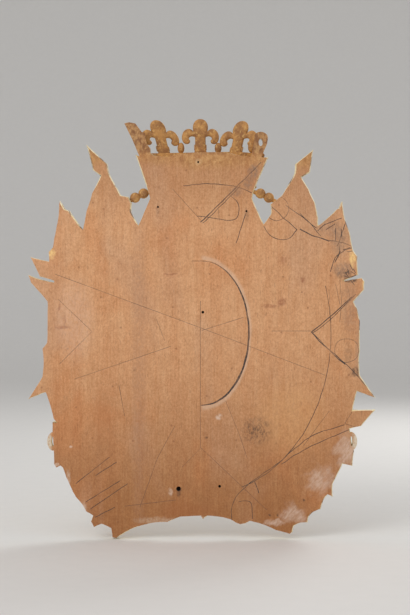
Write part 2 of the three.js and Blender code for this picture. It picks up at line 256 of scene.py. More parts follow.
FREEHAND_LINES = [
    [(292, 71), (258, 36), (232, 13), (210, -3)],
    [(252, -43), (283, -71), (325, -119)],
    [(213, -5), (246, -40), (272, -63)],
    [(271, -178), (217, -194), (180, -219), (151, -246)],
    [(281, -186), (201, -221), (151, -252)],
    [(-35, 277), (-8, 280), (30, 280), (68, 274), (94, 263)],
    [(78, 287), (113, 321)],
    [(1, 205), (40, 243), (74, 278)],
    [(-9, 219), (25, 215), (52, 211), (64, 214), (70, 226), (70, 238), (64, 250), (52, 258)],
    [(84, 226), (65, 168)],
    [(118, 200), (123, 190), (131, 181), (143, 176), (157, 175), (169, 179), (181, 194)],
    [(242, 172), (264, 169), (284, 162)],
    [(186, 224), (206, 205), (225, 182)],
    [(220, 192), (234, 203), (266, 216)],
    [(235, 193), (253, 205)],
    [(254, 197), (253, 172)],
    [(265, 195), (266, 176)],
    [(260, 165), (261, 150), (254, 134)],
    [(263, 152), (252, 131)],
    [(275, 152), (287, 154)],
    [(271, 109), (279, 115)],
    [(276, 118), (279, 108)],
    [(281, 128), (286, 116)],
    [(282, 114), (291, 109)],
    [(269, 106), (280, 103), (292, 108)],
    [(287, 119), (292, 111)],
    [(131, 237), (181, 194)],
    [(160, 239), (218, 197)],
    [(151, -246), (98, -283), (66, -313), (56, -338), (57, -358)],
    [(70, -324), (83, -322), (94, -328), (95, -356)],
    [(101, -285), (108, -307)],
    [(281, 160), (255, 142), (244, 113)],
    [(271, 113), (290, 88)],
    [(257, 162), (273, 206)],
    [(271, 95), (292, 100)],
]
PENCIL_CIRCLES = [((275, -36), 23), ((142, 234), 23)]

# Two ovals drawn on the back: centre, half size, and the part drawn, in degrees from the right
LONG_ARC = ((0, -3), (245, 308), (-72, 17))
BRUSH_ARC = ((0, -3), (89, 137), (-92, 90))

# Depth and widths of the drawn lines in millimetres
LINE_DEPTH = 0.03
RULED_WIDTH = 0.9
HATCH_WIDTH = 1.2
FREEHAND_WIDTH = 1.25
BOLD_WIDTH = 1.9
BRUSH_WIDTHS = (3.8, 0.8)

# The drawn lines wander by chance, which starts from this number so that every run is the same
CHANCE = 11

# The finishes, in the order of the material slots
BACK, EDGE, GILT, WHITE, RED, HOLE, FAINT, DARK = range(8)


# Forms

def placed(name, data):
    """A new object in the scene."""
    made = bpy.data.objects.new(name, data)
    bpy.context.scene.collection.objects.link(made)
    return made


def blend(a, b, t):
    """The value at a share of the way from a to b."""
    return a + (b - a) * t


def scaled(points):
    """Points in thousandths of the height, as millimetres."""
    return [(x * SHARE, y * SHARE) for x, y in points]


def mirrored(points, way):
    """Points as they are, or mirrored to the left where the way is -1."""
    return [(way * x, y) for x, y in points]


def curve(points, t):
    """A place on a smooth curve through the points, at a share of the way along."""
    place = t * (len(points) - 1)
    i = min(int(place), len(points) - 2)
    w = place - i
    before, start, end, after = (
        Vector(points[k]) for k in (max(i - 1, 0), i, i + 1, min(i + 2, len(points) - 1))
    )
    leave = (end - before) / 2
    arrive = (after - start) / 2
    return (
        (2 * start - 2 * end + leave + arrive) * w ** 3
        + (3 * end - 3 * start - 2 * leave - arrive) * w ** 2
        + leave * w + start
    )


def on_oval(centre, half, turn):
    """The place on an oval at a turn from its right-hand end."""
    return (centre[0] + half[0] * math.cos(turn), centre[1] + half[1] * math.sin(turn))


def oval(centre, half, count):
    """The corners of an oval."""
    return [on_oval(centre, half, 2 * math.pi * i / count) for i in range(count)]


def inset(points, margin):
    """An outline moved inwards by a margin, corner by corner, and less far at very sharp ones."""
    sharpest = 0.35
    corners = [Vector(point) for point in points]
    area = sum(a.x * b.y - b.x * a.y for a, b in zip(corners, corners[1:] + corners[:1]))
    turn = 1 if area > 0 else -1
    moved = []
    for i, corner in enumerate(corners):
        before = (corner - corners[i - 1]).normalized()
        after = (corners[(i + 1) % len(corners)] - corner).normalized()
        normal = Vector((-before.y, before.x)) * turn
        middle = (normal + Vector((-after.y, after.x)) * turn).normalized()
        moved.append(corner + middle * margin / max(middle.dot(normal), sharpest))
    return [(corner.x, corner.y) for corner in moved]


def sawn_edge(points, step, wobble):
    """An outline with the small wander of a hand saw along its longer edges, always inwards."""
    ripple = 0.09
    fine = []
    for i, start in enumerate(points):
        start = Vector(start)
        end = Vector(points[(i + 1) % len(points)])
        pieces = max(1, round((end - start).length / step))
        inward = Vector((start.y - end.y, end.x - start.x)).normalized()
        fine.append(start)
        for k in range(1, pieces):
            spot = start.lerp(end, k / pieces)
            depth = 0.5 + 0.5 * noise.noise((spot.x * ripple, spot.y * ripple, 3.0))
            fine.append(spot + inward * wobble * depth)
    return [(spot.x, spot.y) for spot in fine]


def loft(rings, finish):
    """A closed form through rings of corners, with flat ends. finish is one, or one a level."""
    count = len(rings[0])
    levels = len(rings) - 1
    mesh = bpy.data.meshes.new("form")
    faces = [tuple(range(count)), tuple(range(levels * count, (levels + 1) * count))[::-1]]
    finishes = finish if isinstance(finish, list) else [finish] * levels
    kinds = [finishes[0], finishes[-1]]
    for level in range(levels):
        for i in range(count):
            a = level * count + i
            b = level * count + (i + 1) % count
            faces.append((a, a + count, b + count, b))
            kinds.append(finishes[level])
    mesh.from_pydata([corner for ring in rings for corner in ring], [], faces)
    mesh.polygons.foreach_set("material_index", kinds)
    turn_outwards(mesh)
    for material in MATERIALS:
        mesh.materials.append(material)
    return placed("form", mesh)


def turn_outwards(mesh):
    """Turns the faces of a closed mesh round if they look inwards."""
    shell = bmesh.new()
    shell.from_mesh(mesh)
    if shell.calc_volume(signed=True) < 0:
        bmesh.ops.reverse_faces(shell, faces=shell.faces)
    shell.to_mesh(mesh)
    shell.free()


def moulded(points, profile, finish):
    """A flat piece whose walls follow a profile of (margin, height), from its foot to its top."""
    rings = []
    for margin, height in profile:
        ring = inset(points, margin) if margin else points
        rings.append([(x, y, height) for x, y in ring])
    return loft(rings, finish)


def slab(points, low, high, finish):
    """A flat piece with upright walls between two heights."""
    return moulded(points, [(0, low), (0, high)], finish)


def hoop(centre, across, out, radius, sides):
    """The corners of a round ring in the plane of two directions."""
    ring = []
    for k in range(sides):
        turn = 2 * math.pi * k / sides
        ring.append(centre + (across * math.cos(turn) + out * math.sin(turn)) * radius)
    return ring


def rod(start, end, radii, finish):
    """A round rod between two places, with a radius for each end."""
    first = Vector(start)
    last = Vector(end)
    along = (last - first).normalized()
    across = along.cross(Vector((0, 0, 1))).normalized()
    out = across.cross(along).normalized()
    rings = [hoop(place, across, out, radius, 12) for place, radius in zip((first, last), radii)]
    return loft(rings, finish)


def turned(start, end, profile, axis, finish, sides):
    """A turned bar lying along the board, with a profile of (share of the way, radius)."""
    first = Vector((start[0], start[1], axis))
    last = Vector((end[0], end[1], axis))
    out = Vector((0, 0, 1))
    across = (last - first).cross(out).normalized()
    return loft([hoop(first.lerp(last, t), across, out, radius, sides) for t, radius in profile],
                finish)


def ball(centre, radii, finish, around=18, up=11):
    """A round or oval boss with its poles front and back."""
    rings = []
    for level in range(up):
        lift = math.pi * ((level + 0.5) / up - 0.5)
        ring = oval(centre, (radii[0] * math.cos(lift), radii[1] * math.cos(lift)), around)
        rings.append([(x, y, centre[2] + radii[2] * math.sin(lift)) for x, y in ring])
    return loft(rings, finish)


def sheet(columns, rows, surface, finish):
    """A block whose top follows surface(s, t), which gives x, y and a height."""
    rings = []
    for row in range(rows + 1):
        top = [surface(column / columns, row / rows) for column in range(columns + 1)]
        foot = [(top[-1][0], top[-1][1], -WASTE), (top[0][0], top[0][1], -WASTE)]
        rings.append(top + foot)
    return loft(rings, finish)


# Carving

def cloth(first_edge, second_edge, pleats, rise, finish):
    """Cloth between two edges that start at the staff. Round pleats fan out and deepen towards
    the hem, which has a braid and a fringe."""
    fringe_start = 0.83
    fringe_depth = 0.8
    braid = (0.765, 0.815)
    braid_rise = 0.9
    tassels = 26
    pleat_sway = 0.035
    pleat_lean = 0.12
    pleat_roundness = 0.75
    first = scaled(first_edge)
    second = scaled(second_edge)

    def surface(s, t):
        a = curve(first, t)
        b = curve(second, t)
        sway = pleat_sway * math.sin(2.4 * math.pi * t + pleats) * math.sin(math.pi * s)
        ridge = abs(math.sin(math.pi * pleats * (s + sway))) ** pleat_roundness
        lean = pleat_lean * math.sin(2 * math.pi * pleats * s + 5 * t)
        height = blend(CLOTH_FOLD_AT_STAFF, CLOTH_FOLD, t) * min(max(ridge + lean, 0), 1)
        if t > fringe_start:
            height -= fringe_depth - fringe_depth * math.cos(2 * math.pi * tassels * s)
        elif braid[0] < t < braid[1]:
            height += braid_rise
        place = a.lerp(b, s)
        return (place.x, place.y, BOARD + rise + height)

    return sheet(4 * tassels, 26, surface, finish)


def blade(root, tip, half_widths, finish):
    """A blade hollow ground to a ridge, with half widths at even shares of the way to its tip."""
    hollow = 0.6
    start = Vector(scaled([root])[0])
    end = Vector(scaled([tip])[0])
    across = (end - start).normalized().orthogonal()
    places = [(i / (len(half_widths) - 1), half * SHARE) for i, half in enumerate(half_widths)]

    def surface(s, t):
        side = 2 * s - 1
        half = curve(places, t)[1]
        place = start.lerp(end, t) + across * half * side
        return (place.x, place.y, blend(BLADE_RIDGE, BLADE_EDGE, abs(side) ** hollow))

    return sheet(12, 18, surface, finish)


def staff(start, end, axis, finish):
    """A plain staff with a turned collar where the spearhead is fixed."""
    radius = STAFF_RADIUS
    collar = [(0.93, 1), (0.935, 1.35), (0.95, 1.45), (0.965, 1.35), (0.97, 1)]
    profile = [(0, radius)] + [(t, radius * swell) for t, swell in collar] + [(1, radius)]
    return turned(scaled([start])[0], scaled([end])[0], profile, axis, finish, 16)


def outer_flag_edges(way):
    """The two long edges of an outer flag, from the staff to the hem."""
    return (
        mirrored([(345, 306), (356, 255), (380, 170), (392, 70)], way),
        mirrored([(322, 292), (282, 238), (232, 180), (190, 110)], way),
    )


def upper_flags(way):
    """Cloth gathered under a spearhead, on staffs that point at the centre."""
    inner = cloth(
        mirrored([(246, 376), (270, 325), (288, 250), (300, 165)], way),
        mirrored([(218, 378), (190, 326), (145, 265), (95, 185)], way),
        UPPER_PLEATS, CLOTH_RISE, GILT,
    )
    outer = cloth(*outer_flag_edges(way), UPPER_PLEATS, CLOTH_RISE + CLOTH_LAYER, GILT)
    axis = BOARD + STAFF_RISE + CLOTH_LAYER
    return [
        inner,
        outer,
        staff((0, 0), (way * 231, 373), axis, GILT),
        staff((0, 0), (way * 336, 308), axis, GILT),
        blade((way * 228, 368), (way * 271, 441), [11, 19, 9, 1], GILT),
    ]


def lower_flags(way):
    """Cloth that falls from a rising staff, in two layers with a stepped hem."""
    under = cloth(
        mirrored([(85, -235), (92, -330), (125, -430), (195, -505)], way),
        mirrored([(235, -190), (262, -300), (285, -380), (300, -440)], way),
        UNDER_PLEATS, CLOTH_RISE, GILT,
    )
    over = cloth(
        mirrored([(190, -125), (215, -240), (245, -360), (275, -440)], way),
        mirrored([(372, -150), (376, -220), (376, -280), (372, -345)], way),
        OVER_PLEATS, CLOTH_RISE + CLOTH_LAYER, GILT,
    )
    axis = BOARD + STAFF_RISE + 2 * CLOTH_LAYER
    return [
        under,
        over,
        staff((way * 90, -383), (way * 362, -213), axis, GILT),
        blade((way * 352, -217), (way * 415, -186), [13, 17, 9, 1], GILT),
    ]


def barrel(breech, muzzle, radius):
    """A turned barrel with rings, a raised lip and a bored muzzle, half sunk in the wood."""
    lip = radius + MUZZLE_LIP
    bore = 0.5 * radius
    profile = [
        (0, radius), (0.3, radius), (0.31, lip - 1), (0.33, lip - 1), (0.34, radius),
        (0.54, radius), (0.55, lip), (0.6, lip), (0.61, radius), (0.84, radius * 0.95),
        (0.88, lip - 1), (0.92, lip), (1, lip), (1, bore + 2), (0.98, bore), (0.9, bore),
    ]
    return turned(scaled([breech])[0], scaled([muzzle])[0], profile, BARREL_AXIS, GILT, 28)


def barrels():
    """Side barrels and the broad points over them, and small barrels at the bottom edge."""
    return [
        barrel((230, -40), (384, -76), BARREL_RADIUS),
        barrel((-230, -12), (-381, -22), BARREL_RADIUS),
        barrel((190, -320), (92, -452), SMALL_BARREL_RADIUS),
        barrel((-190, -320), (-92, -452), SMALL_BARREL_RADIUS),
        blade((250, 76), (418, 127), [34, 34, 30, 12], GILT),
        blade((-250, 76), (-392, 112), [34, 34, 30, 12], GILT),
    ]


def under_outer_flag(way):
    """The space that an outer flag takes up, at full height."""
    first, second = (scaled(edge) for edge in outer_flag_edges(way))

    def surface(s, t):
        place = curve(first, t).lerp(curve(second, t), s)
        return (place.x, place.y, BLANK)

    return sheet(1, 26, surface, WHITE)


def cross():
    """The eight-pointed cross: four forked arms, each with a rounded rim round a sunk field. The
    side arms stop at the outer flags, which hang over them."""
    top = BOARD + CROSS_RISE
    side_x, side_y = SIDE_POINT
    up_x, up_y = UPRIGHT_POINT
    profile = [
        (0, -WASTE), (0, top - 1.6), (0.6, top - 0.5), (1.8, top), (CROSS_RIM - 1.8, top),
        (CROSS_RIM - 0.6, top - 0.6), (CROSS_RIM, top - CROSS_SINK),
    ]
    arms = []
    for way in (1, -1):
        side = [(0, 0), (way * side_x, -side_y), (way * SIDE_NOTCH, 0), (way * side_x, side_y)]
        upright = [(0, 0), (-up_x, way * up_y), (0, way * UPRIGHT_NOTCH), (up_x, way * up_y)]
        arms += [moulded(scaled(side), profile, WHITE), moulded(scaled(upright), profile, WHITE)]
        cut(arms[-2], [under_outer_flag(way)], "DIFFERENCE")
    return arms


def field_height(reach):
    """The height of the domed field at a share of the way out to the edge of the shield."""
    return BOARD + SHIELD_RISE + SHIELD_DOME * (1 - (reach / DOME_REACH) ** 2)


def shield():
    """The oval shield: a rim cut into short lobes round a domed field."""
    around = 96
    lobes = 48
    low = BOARD + SHIELD_RISE
    rim_top = low + SHIELD_RIM
    profile = [
        (1, -WASTE, 0), (1, rim_top - 3, 0), (0.992, rim_top - 1, 0.3), (0.975, rim_top, 0.8),
        (0.955, rim_top, 0.8), (0.935, rim_top - 0.4, 0.3), (0.925, rim_top - 2.2, 0),
        (0.905, rim_top - 1.6, 0), (0.89, rim_top - 2.2, 0), (DOME_REACH, low, 0),
    ]
    rim_levels = len(profile) - 1
    profile += [(reach / 20, field_height(reach / 20), 0) for reach in range(16, 0, -1)]
    rings = []
    for reach, height, lobe in profile:
        half = (SHIELD_HALF[0] * SHARE * reach, SHIELD_HALF[1] * SHARE * reach)
        ring = []
        for k, (x, y) in enumerate(oval((0, 0), half, around)):
            swell = lobe * math.cos(2 * math.pi * k * lobes / around)
            ring.append((x, y, height - lobe + swell))
        rings.append(ring)
    return loft(rings, [GILT] * rim_levels + [RED] * (len(rings) - 1 - rim_levels))


def charge():
    """A chevron between three round bosses, raised on the dome."""
    half_width = 75
    peak = 55
    fall = 95
    breadth = 45
    edge_rise = 0.4
    edge_slope = 6
    boss_half = 20
    boss_swell = 5
    boss_sink = 2

    def chevron(s, t):
        x = half_width * (2 * s - 1)
        y = peak - fall * abs(2 * s - 1) - breadth * t
        reach = math.hypot(x / SHIELD_HALF[0], y / SHIELD_HALF[1])
        edge = min(t, 1 - t, s, 1 - s)
        rise = CHARGE_RISE * min(1, edge_rise + edge_slope * edge)
        return (x * SHARE, y * SHARE, field_height(reach) + rise)

    pieces = [sheet(40, 12, chevron, GILT)]
    for x, y in [(-48, 75), (48, 75), (0, -80)]:
        height = field_height(math.hypot(x / SHIELD_HALF[0], y / SHIELD_HALF[1]))
        centre = (x * SHARE, y * SHARE, height - boss_sink)
        radii = (boss_half * SHARE, boss_half * SHARE, CHARGE_RISE + boss_swell)
        pieces.append(ball(centre, radii, GILT, 24))
    return pieces


def smooth_ring(points, count):
    """A closed outline drawn smoothly through the points."""
    return [tuple(curve(points + points[:1], i / count)) for i in range(count)]


def even_oval(half, pitch):
    """Evenly spaced places on an oval, about one pitch apart."""
    fine = oval((0, 0), half, 720)
    steps = [math.dist(fine[i], fine[i - 1]) for i in range(len(fine))]
    length = sum(steps)
    count = round(length / pitch)
    places = []
    walked = 0
    for i, step in enumerate(steps):
        if walked >= len(places) * length / count and len(places) < count:
            places.append(fine[i])
        walked += step
    return places


def rosary():
    """The string of beads round the shield, with a small cross hanging below."""
    axis = BOARD + BEAD_SEAT * BEAD_RADIUS
    places = even_oval([half * SHARE for half in ROSARY_HALF], BEAD_PITCH)
    places += scaled([(0, y) for y in (-232, -256, -280, -304)])
    size = (BEAD_RADIUS,) * 3
    pieces = [ball((x, y, axis), size, GILT) for x, y in places]
    top = axis + BEAD_RADIUS / 3
    for way in (1, -1):
        half = [
            (0, -335), (26, -318), (8, -342), (34, -330), (34, -372), (8, -350), (26, -404),
            (0, -392),
        ]
        profile = [(0, -WASTE), (0, top - 1.2), (1.2, top)]
        pieces.append(moulded(scaled(mirrored(half, way)), profile, GILT))
    return pieces


def loose_beads(way):
    """The beads that hang free between the crown and the flag, on the cord that holds them."""
    radius = CHAIN_BEAD_HALF * SHARE
    cord_radius = CHAIN_CORD_HALF * SHARE
    places = scaled(mirrored([(140, 330), (160, 320)], way))
    cord_ends = scaled(mirrored([(122, 335), (185, 307)], way))
    cord = turned(*cord_ends, [(0, cord_radius), (1, cord_radius)], radius, GILT, 12)
    return [ball((x, y, radius), (radius,) * 3, GILT) for x, y in places] + [cord]


def carved_beads(way):
    """The rest of the same chain, carved across the inner flag and sawn off with it."""
    radius = CHAIN_BEAD_HALF * SHARE
    height = BOARD + BEAD_SEAT * radius
    places = mirrored([(180, 310), (201, 302), (222, 300), (243, 303), (262, 312)], way)
    return [ball((x, y, height), (radius,) * 3, GILT) for x, y in scaled(places)]


def crown_band():
    """The flared band of the crown, turned and flattened, with a moulded foot and a brim whose
    edge sags a little towards the sides."""
    around = 96
    foot = CROWN_FOOT
    foot_half = CROWN_FOOT_HALF
    brim = CROWN_BRIM
    brim_half = CROWN_BRIM_HALF
    levels = [
        (foot_half - 1, foot), (foot_half + 3, foot + 3), (foot_half + 6, foot + 8),
        (foot_half + 6, foot + 12), (foot_half + 3, foot + 17), (foot_half, foot + 20),
        (foot_half + 1, foot + 24), (brim_half - 11, brim - 22), (brim_half - 9, brim - 20),
        (brim_half - 3, brim - 17), (brim_half, brim - 13), (brim_half, brim - 3),
        (brim_half - 2, brim),
    ]
    rings = []
    for half, level in levels:
        depth = CROWN_DEPTH * half / brim_half
        sag = CROWN_BRIM_SAG * SHARE if level > brim - 10 else 0
        ring = oval((0, 0), (half * SHARE, depth), around)
        rings.append([(x, level * SHARE - sag * (x / (half * SHARE)) ** 2, z) for x, z in ring])
    return loft(rings, GILT)


def brim_depth(x):
    """How far the brim stands out above x."""
    return CROWN_DEPTH * math.sqrt(1 - (x / CROWN_BRIM_HALF) ** 2)


def band_trim():
    """Pearls round the foot and brim of the crown, and oval and square jewels between them."""
    pieces = []
    foot_pearl = (3.4, 3.4, 3.4)
    brim_pearl = (2.8, 2.8, 2.8)
    oval_jewel = (8.5, 12, 5)
    square_jewel = (10, 10, 5)

    def stud(angle, level, half, radii, sides=12):
        x = half * SHARE * math.sin(angle)
        z = CROWN_DEPTH * half / CROWN_BRIM_HALF * math.cos(angle)
        pieces.append(ball((x, level * SHARE, z), radii, GILT, sides, 7))

    for k in range(-9, 10):
        stud(0.145 * k, CROWN_FOOT + 10, CROWN_FOOT_HALF + 5, foot_pearl)
    for k in range(-12, 13):
        stud(0.11 * k, CROWN_BRIM - 26, CROWN_BRIM_HALF - 13, brim_pearl)
    middle = (CROWN_FOOT + CROWN_BRIM) / 2
    middle_half = (CROWN_FOOT_HALF + CROWN_BRIM_HALF) / 2 - 6
    for k in range(-3, 4):
        if k % 2 == 0:
            stud(0.36 * k, middle, middle_half, oval_jewel, 20)
        else:
            stud(0.36 * k, middle, middle_half, square_jewel, 4)
    return pieces


def fleur(x, slant, drop):
    """One fleur of the crown, standing on the brim, slanted to one side and lowered by its drop:
    a flat board with rounded edges, raised ribs in front and round knobs in its curled petals."""
    half = FLEUR_THICKNESS / 2
    other_side = [(-px, py) for px, py in reversed(FLEUR_SIDE)]
    outline = scaled(smooth_ring(FLEUR_SIDE + other_side, 132))
    profile = [
        (2.4, -half), (0.9, -half + 0.9), (0, -half + 2.6), (0, half - 3.2), (0.8, half - 1.2),
        (2.8, half),
    ]
    rib = smooth_ring([(0, 40), (7, 50), (9.5, 60), (6, 71), (0, 77), (-6, 71), (-9.5, 60),
                       (-7, 50)], 40)
    rib_profile = [(0, 0), (0, half + 0.4), (1.5, half + 1.8), (4, half + 2)]
    knob_radii = (5.2, 5.2, 4)
    stem_foot = (0, 2 * SHARE, 2.2)
    stem_head = (0, 44 * SHARE, 1.6)
    collar_left = (-15 * SHARE, 12 * SHARE, 1.5)
    collar_right = (15 * SHARE, 12 * SHARE, 1.5)
    pieces = [
        moulded(outline, profile, GILT),
        moulded(scaled(rib), rib_profile, GILT),
        rod(stem_foot, stem_head, (half - 0.4, half - 1.2), GILT),
        rod(collar_left, collar_right, (half, half), GILT),
    ]
    for way in (1, -1):
        knob = (way * 33 * SHARE, 29 * SHARE, half - 2)
        pieces.append(ball(knob, knob_radii, GILT))
    half_brim = CROWN_BRIM_HALF * SHARE
    turn = math.atan2(x * SHARE / half_brim ** 2, brim_depth(x) / CROWN_DEPTH ** 2)
    level = (CROWN_BRIM - drop) * SHARE
    place = Matrix.Translation((x * SHARE, level, brim_depth(x) - half - FLEUR_SET_BACK))
    slanted = Matrix(((1, slant, 0, 0), (0, 1, 0, 0), (0, 0, 1, 0), (0, 0, 0, 1)))
    for piece in pieces:
        piece.data.transform(place @ Matrix.Rotation(turn, 4, "Y") @ slanted)
    return pieces


def end_fleurs():
    """Flush with the back: one end keeps its leaning petal, the other only its scroll."""
    petal = [
        (152, 424), (144, 408), (123, 415), (123, 436), (132, 448), (136, 473), (144, 476),
        (159, 496), (174, 499), (185, 496), (166, 457),
    ]
    scroll = [
        (-140, 408), (-112, 408), (-118, 421), (-124, 457), (-128, 472), (-143, 476),
        (-156, 467), (-155, 448), (-148, 431),
    ]
    top = END_FLEUR_THICKNESS
    profile = [(0, -WASTE), (0, top - 4), (1.2, top - 1.5), (3.5, top)]
    whole = moulded(scaled(smooth_ring(scroll, 60)), profile, GILT)
    eye = slab(scaled(oval((-140, 451), (5, 9), 20)), -2 * WASTE, BLANK, GILT)
    cut(whole, [eye], "DIFFERENCE")
    return [moulded(scaled(petal), profile, GILT), whole]


def crown():
    """The fleurs and pearls that stand on the brim."""
    radii = [half * SHARE for half in PEARL_HALF]
    level = (CROWN_BRIM + PEARL_SEAT * PEARL_HALF[1]) * SHARE
    pieces = fleur(91, 0.26, 5) + fleur(4, 0, 0) + fleur(-80, -0.23, 6.5) + end_fleurs()
    for x in (51, -39, -119):
        height = brim_depth(x) - radii[2] - PEARL_SET_BACK
        pieces.append(ball((x * SHARE, level, height), radii, GILT))
    return pieces


def ring(x):
    """A cord loop, rounded at the front and flush with the back."""
    top = RING_THICKNESS
    profile = [(0, -WASTE), (0, top - 5), (0.8, top - 2), (2.6, top - 0.3), (3.6, top)]
    loop = moulded(scaled(oval((x, RING_LEVEL), RING_HALF, 40)), profile, EDGE)
    eye = slab(scaled(oval((x, RING_LEVEL), RING_EYE, 28)), -2 * WASTE, BLANK, EDGE)
    cut(loop, [eye], "DIFFERENCE")
    return loop


def back_holes():
    """Nail, peg and pin holes bored into the back."""
    places = [
        ((-2, 46), NAIL_HOLE), ((56, -375), PEG_HOLE), ((-42, -369), NAIL_HOLE),
        ((105, 297), PIN_HOLE), ((-106, 287), PIN_HOLE), ((9, 404), PIN_HOLE),
    ]
    pieces = []
    for (x, y), radius in places:
        centre = (x * SHARE, y * SHARE)
        rim = [(px, py, -WASTE) for px, py in oval(centre, (radius, radius), 20)]
        floor = [(px, py, HOLE_DEPTH) for px, py in oval(centre, (radius * 0.7,) * 2, 20)]
        pieces.append(loft([rim, floor], HOLE))
    return pieces


def stroke(line, width, finish, tremble):
    """A drawn line as a thin blade that scores the back. width is one width, or a function of
    the share of the way along. A tremble makes it wander as a hand does."""
    step = 5
    wander = 0.06
    press = 0.11
    press_share = 0.3
    length = sum(math.dist(a, b) for a, b in zip(line, line[1:]))
    count = max(2, round(length / step)) if tremble else len(line) - 1
    left = []
    right = []
    places = []
    for i in range(count + 1):
        spot = curve(line, i / count) if tremble else Vector(line[i])
        seed = (spot.x * wander, spot.y * wander, len(line))
        places.append(spot + Vector(noise.noise_vector(seed)[:2]) * tremble)
    for i, spot in enumerate(places):
        ahead = places[min(i + 1, count)]
        behind = places[max(i - 1, 0)]
        across = (ahead - behind).normalized().orthogonal()
        reach = width(i / count) if callable(width) else width
        weight = noise.noise((spot.x * press, spot.y * press, 1.0))
        reach *= 0.5 * (1 + press_share * weight)
        left.append(spot + across * reach)
        right.append(spot - across * reach)
    outline = [(-spot.x, spot.y) for spot in left + right[::-1]]
    return slab(outline, -WASTE, LINE_DEPTH, finish)


def arc_line(centre, half, degrees):
    """The places along part of an oval."""
    count = 40
    turns = [math.radians(blend(*degrees, i / count)) for i in range(count + 1)]
    return [on_oval(centre, half, turn) for turn in turns]


def brush_width(t):
    """The dark half oval is heavy low down, about a third of the way along, and thin at its ends."""
    broad, thin = BRUSH_WIDTHS
    return blend(thin, broad, max(math.sin(math.pi * t ** 0.58), 0))


def back_marks():
    """Everything drawn on the back, as one form."""
    noise.seed_set(CHANCE)
    kinds = [
        (RULED_LINES, RULED_WIDTH, FAINT, 0.0), (HATCHING, HATCH_WIDTH, DARK, 0.6),
        (FREEHAND_LINES, FREEHAND_WIDTH, DARK, 1.6), (BOLD_LINES, BOLD_WIDTH, DARK, 1.0),
    ]
    marks = [
        stroke(line, width, finish, tremble)
        for lines, width, finish, tremble in kinds for line in lines
    ]
    more_than_round = (20, 372)
    for centre, radius in PENCIL_CIRCLES:
        round_line = arc_line(centre, (radius, radius), more_than_round)
        marks.append(stroke(round_line, RULED_WIDTH * 1.3, FAINT, 1.2))
    marks.append(stroke(arc_line(*LONG_ARC), FREEHAND_WIDTH, DARK, 0.8))
    marks.append(stroke(arc_line(*BRUSH_ARC), brush_width, DARK, 0.8))
    cut(marks[0], marks[1:], "UNION")
    return marks[0]


def cut(whole, others, operation):
    """Joins, trims or cuts a form with others. Cut faces take the finish of the cutting form."""
    for other in others:
        step = whole.modifiers.new(operation, "BOOLEAN")
        step.operation = operation
        step.solver = "MANIFOLD"
        step.object = other


def ramp(value, low, high):
    """How far a value has come from low to high, held between 0 and 1."""
    return min(max((value - low) / (high - low), 0), 1)


def rim_width(y, faces_left):
    """How much of the painted edge shows from behind. The saw leaned, so it shows most where the
    edge faces left as seen from the front, and also at both sides of the crown. y is the place
    and faces_left how squarely the edge faces left, from -1 to 1."""
    on_crown = ramp(y / SHARE, CROWN_FOOT, CROWN_FOOT + 14)
    crown_side = on_crown * ramp(abs(faces_left), 0.5, 0.8)
    return blend(NARROW_RIM, BROAD_RIM, max(crown_side, ramp(faces_left, 0.15, 0.6)))


def sawn_block():
    """The block that trims the relief. Its edge leans out in front of the back, so that a thin
    line of the painted edge shows from behind."""
    outline = sawn_edge(scaled(SAWN_OUTLINE), 7, SAW_WOBBLE)
    back = []
    for (x, y), (inner_x, inner_y) in zip(outline, inset(outline, 1)):
        faces_left = (inner_x - x) / math.dist((x, y), (inner_x, inner_y))
        width = rim_width(y, faces_left)
        back.append((blend(x, inner_x, width), blend(y, inner_y, width)))
    rings = [(back, -2 * WASTE), (back, 0), (outline, BACK_BEVEL), (outline, BLANK)]
    return loft([[(x, y, height) for x, y in ring] for ring, height in rings], EDGE)


def carved_panel():
    """The whole carving as one mesh."""
    reach = 600
    square = [(-reach, -reach), (reach, -reach), (reach, reach), (-reach, reach)]
    whole = slab(square, -WASTE, BOARD, GILT)
    relief = (
        upper_flags(1) + upper_flags(-1) + lower_flags(1) + lower_flags(-1) + barrels() + cross()
        + [shield()] + charge() + rosary() + [crown_band()] + carved_beads(1) + carved_beads(-1)
    )
    cut(whole, relief, "UNION")
    cut(whole, [sawn_block()], "INTERSECT")
    brim = crown_band()
    cut(brim, [slab(square, -2 * CROWN_DEPTH, CROWN_HOLLOW, GILT)], "DIFFERENCE")
    cut(whole, [brim] + band_trim() + crown() + loose_beads(1) + loose_beads(-1), "UNION")
    cut(whole, [ring(355), ring(-356)], "UNION")
    cut(whole, [slab(square, -3 * CROWN_DEPTH, 0, BACK)], "DIFFERENCE")
    cut(whole, back_holes() + [back_marks()], "DIFFERENCE")
    return finished(whole)


def finished(whole):
    """The finished mesh, stood up in metres, with the forms it was made from removed."""
    sharp_angle = math.radians(38)
    graph = bpy.context.evaluated_depsgraph_get()
    mesh = bpy.data.meshes.new_from_object(whole.evaluated_get(graph))
    for item in list(bpy.data.objects):
        if item.data and item.data.name.startswith("form"):
            bpy.data.objects.remove(item)
    mesh.transform(Matrix.Scale(0.001, 4) @ Matrix.Rotation(math.pi / 2, 4, "X"))
    mesh.name = "carving"
    mesh.shade_smooth()
    mesh.set_sharp_from_angle(angle=sharp_angle)
    return placed("coat_of_arms", mesh)


# Finishes

def srgb(red, green, blue):
    """A colour as seen on a screen, 0 to 255, as the linear colour that a shader takes."""
    linear = []
    for part in (red, green, blue):
        part /= 255
        linear.append(part / 12.92 if part <= 0.04045 else ((part + 0.055) / 1.055) ** 2.4)
    return (*linear, 1)


